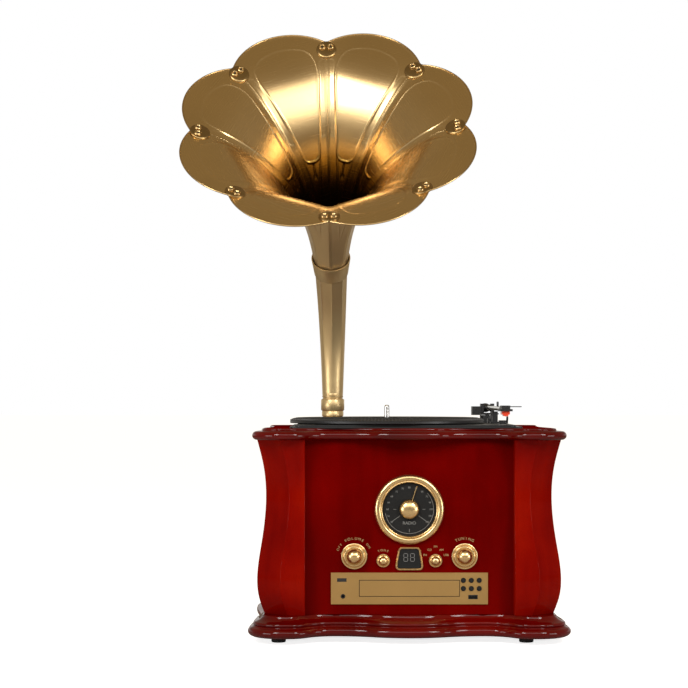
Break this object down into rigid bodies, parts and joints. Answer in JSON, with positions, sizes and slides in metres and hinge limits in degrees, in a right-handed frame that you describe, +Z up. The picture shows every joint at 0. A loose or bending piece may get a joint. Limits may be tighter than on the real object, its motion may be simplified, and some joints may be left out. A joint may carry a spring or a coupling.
{
  "type": "horn music centre",
  "caption": "Gramophone-style music centre: wooden cabinet with a record player, radio dial, disc drawer and a swivelling petal horn.",
  "frame": {"origin": "on the surface under the feet, below the middle of the whole object's box, horn included", "axes": "+Z up, the controls face -Y, +X to the right of someone facing the controls"},
  "size_m": [0.5364, 0.4778, 0.8592],
  "materials": {
    "cherry_wood": "high gloss lacquer",
    "rubber_black": "matt",
    "brass_horn": "brushed and lacquered",
    "gold_satin": "satin gold",
    "black_plastic": "fine moulded texture",
    "button_black": "gloss",
    "dial_black": "gloss",
    "speaker_cloth": "satin",
    "steel": "satin",
    "circuit_board": "satin",
    "cartridge_red": "gloss"
  },
  "bodies": {
    "cabinet": {"base_moulding": "cherry_wood", "bottom_board": "cherry_wood", "front_panel": "cherry_wood", "corner_posts": "cherry_wood", "side_panels": "cherry_wood", "rear_panel": "cherry_wood", "top_board": "cherry_wood", "rubber_feet": "rubber_black", "drive_belt": "rubber_black", "dial_cord": "rubber_black", "dial_bezel": "gold_satin", "display_bezel": "gold_satin", "cd_panel": "gold_satin", "deck_plate": "black_plastic", "tonearm_base": "black_plastic", "arm_rest": "black_plastic", "cue_housing": "black_plastic", "rear_sockets": "black_plastic", "mains_inlet": "black_plastic", "horn_driver": "black_plastic", "horn_socket": "black_plastic", "cd_mechanism": "black_plastic", "headphone_socket": "black_plastic", "dial_face": "dial_black", "display_window": "dial_black", "speaker_grilles": "speaker_cloth", "motor": "steel", "usb_socket": "steel", "power_transformer": "steel", "side_speakers": "steel", "main_board": "circuit_board"},
    "horn": {"horn_ferrule": "brass_horn", "horn_elbow": "brass_horn", "horn_sleeve": "brass_horn", "horn_petals": "brass_horn", "horn_clips": "brass_horn", "clip_screws": "brass_horn"},
    "turntable": {"platter": "black_plastic", "platter_mat": "rubber_black", "spindle": "steel"},
    "pulley": {"motor_pulley": "steel"},
    "arm_yoke": {"tonearm_pivot": "black_plastic"},
    "arm": {"tonearm_tube": "steel", "headshell": "black_plastic", "cartridge": "cartridge_red", "counterweight": "black_plastic"},
    "cue_lever": {"cue_lever": "black_plastic"},
    "cue_lift": {"cue_lift": "black_plastic"},
    "volume": {"volume_knob": "gold_satin"},
    "tone": {"tone_knob": "gold_satin"},
    "selector": {"selector_knob": "gold_satin"},
    "tuning": {"tuning_knob": "gold_satin"},
    "pointer": {"dial_pointer": "gold_satin"},
    "drawer": {"cd_drawer": "gold_satin"},
    "button_play": {"button_play": "button_black"},
    "button_stop": {"button_stop": "button_black"},
    "button_repeat": {"button_repeat": "button_black"},
    "button_back": {"button_back": "button_black"},
    "button_next": {"button_next": "button_black"},
    "button_mode": {"button_mode": "button_black"}
  },
  "joints": [
    {"name": "horn_swivel", "type": "hinge", "parent": "cabinet", "child": "horn", "pos_m": [-0.0615, 0.1939, 0.3], "axis": [0, 0, 1], "range_deg": [-90, 90]},
    {"name": "platter_spin", "type": "hinge", "parent": "cabinet", "child": "turntable", "pos_m": [0.0178, 0.0389, 0.3], "axis": [0, 0, 1], "continuous": true},
    {"name": "pulley_spin", "type": "hinge", "parent": "cabinet", "child": "pulley", "pos_m": [-0.0614, -0.0403, 0.292], "axis": [0, 0, 1], "continuous": true},
    {"name": "tonearm_swing", "type": "hinge", "parent": "cabinet", "child": "arm_yoke", "pos_m": [0.1718, 0.1589, 0.3206], "axis": [0, 0, 1], "range_deg": [-40, 2]},
    {"name": "tonearm_lift", "type": "hinge", "parent": "arm_yoke", "child": "arm", "pos_m": [0.1718, 0.1589, 0.3206], "axis": [-0.9989, -0.0476, 0], "range_deg": [0, 15]},
    {"name": "cue_lever_turn", "type": "hinge", "parent": "cabinet", "child": "cue_lever", "pos_m": [0.18607, 0.02743, 0.3019], "axis": [0.9989, 0.0476, 0], "range_deg": [0, 50]},
    {"name": "cue_lift_rise", "type": "slide", "parent": "cabinet", "child": "cue_lift", "axis": [0, 0, 1], "range_m": [0, 0.004]},
    {"name": "volume_turn", "type": "hinge", "parent": "cabinet", "child": "volume", "pos_m": [-0.0302, -0.0961, 0.118], "axis": [0, -1, 0], "range_deg": [-150, 150]},
    {"name": "tone_turn", "type": "hinge", "parent": "cabinet", "child": "tone", "pos_m": [0.0098, -0.0961, 0.112], "axis": [0, -1, 0], "range_deg": [-140, 140]},
    {"name": "selector_turn", "type": "hinge", "parent": "cabinet", "child": "selector", "pos_m": [0.0818, -0.0961, 0.112], "axis": [0, -1, 0], "range_deg": [0, 120]},
    {"name": "tuning_turn", "type": "hinge", "parent": "cabinet", "child": "tuning", "pos_m": [0.1218, -0.0961, 0.118], "axis": [0, -1, 0], "range_deg": [-336, 444]},
    {"name": "pointer_turn", "type": "hinge", "parent": "cabinet", "child": "pointer", "pos_m": [0.0458, -0.0961, 0.1825], "axis": [0, -1, 0], "range_deg": [-112, 148]},
    {"name": "drawer_slide", "type": "slide", "parent": "cabinet", "child": "drawer", "axis": [0, -1, 0], "range_m": [0, 0.118]},
    {"name": "button_play_press", "type": "slide", "parent": "cabinet", "child": "button_play", "axis": [0, 1, 0], "range_m": [0, 0.001], "stiffness_N_per_m": 500, "springref_m": -0.002},
    {"name": "button_stop_press", "type": "slide", "parent": "cabinet", "child": "button_stop", "axis": [0, 1, 0], "range_m": [0, 0.001], "stiffness_N_per_m": 500, "springref_m": -0.002},
    {"name": "button_repeat_press", "type": "slide", "parent": "cabinet", "child": "button_repeat", "axis": [0, 1, 0], "range_m": [0, 0.001], "stiffness_N_per_m": 500, "springref_m": -0.002},
    {"name": "button_back_press", "type": "slide", "parent": "cabinet", "child": "button_back", "axis": [0, 1, 0], "range_m": [0, 0.001], "stiffness_N_per_m": 500, "springref_m": -0.002},
    {"name": "button_next_press", "type": "slide", "parent": "cabinet", "child": "button_next", "axis": [0, 1, 0], "range_m": [0, 0.001], "stiffness_N_per_m": 500, "springref_m": -0.002},
    {"name": "button_mode_press", "type": "slide", "parent": "cabinet", "child": "button_mode", "axis": [0, 1, 0], "range_m": [0, 0.001], "stiffness_N_per_m": 500, "springref_m": -0.002}
  ],
  "couplings": [
    {"joint": "pulley_spin", "follows": "platter_spin", "ratio": 12.308},
    {"joint": "pointer_turn", "follows": "tuning_turn", "ratio": 0.33333}
  ]
}
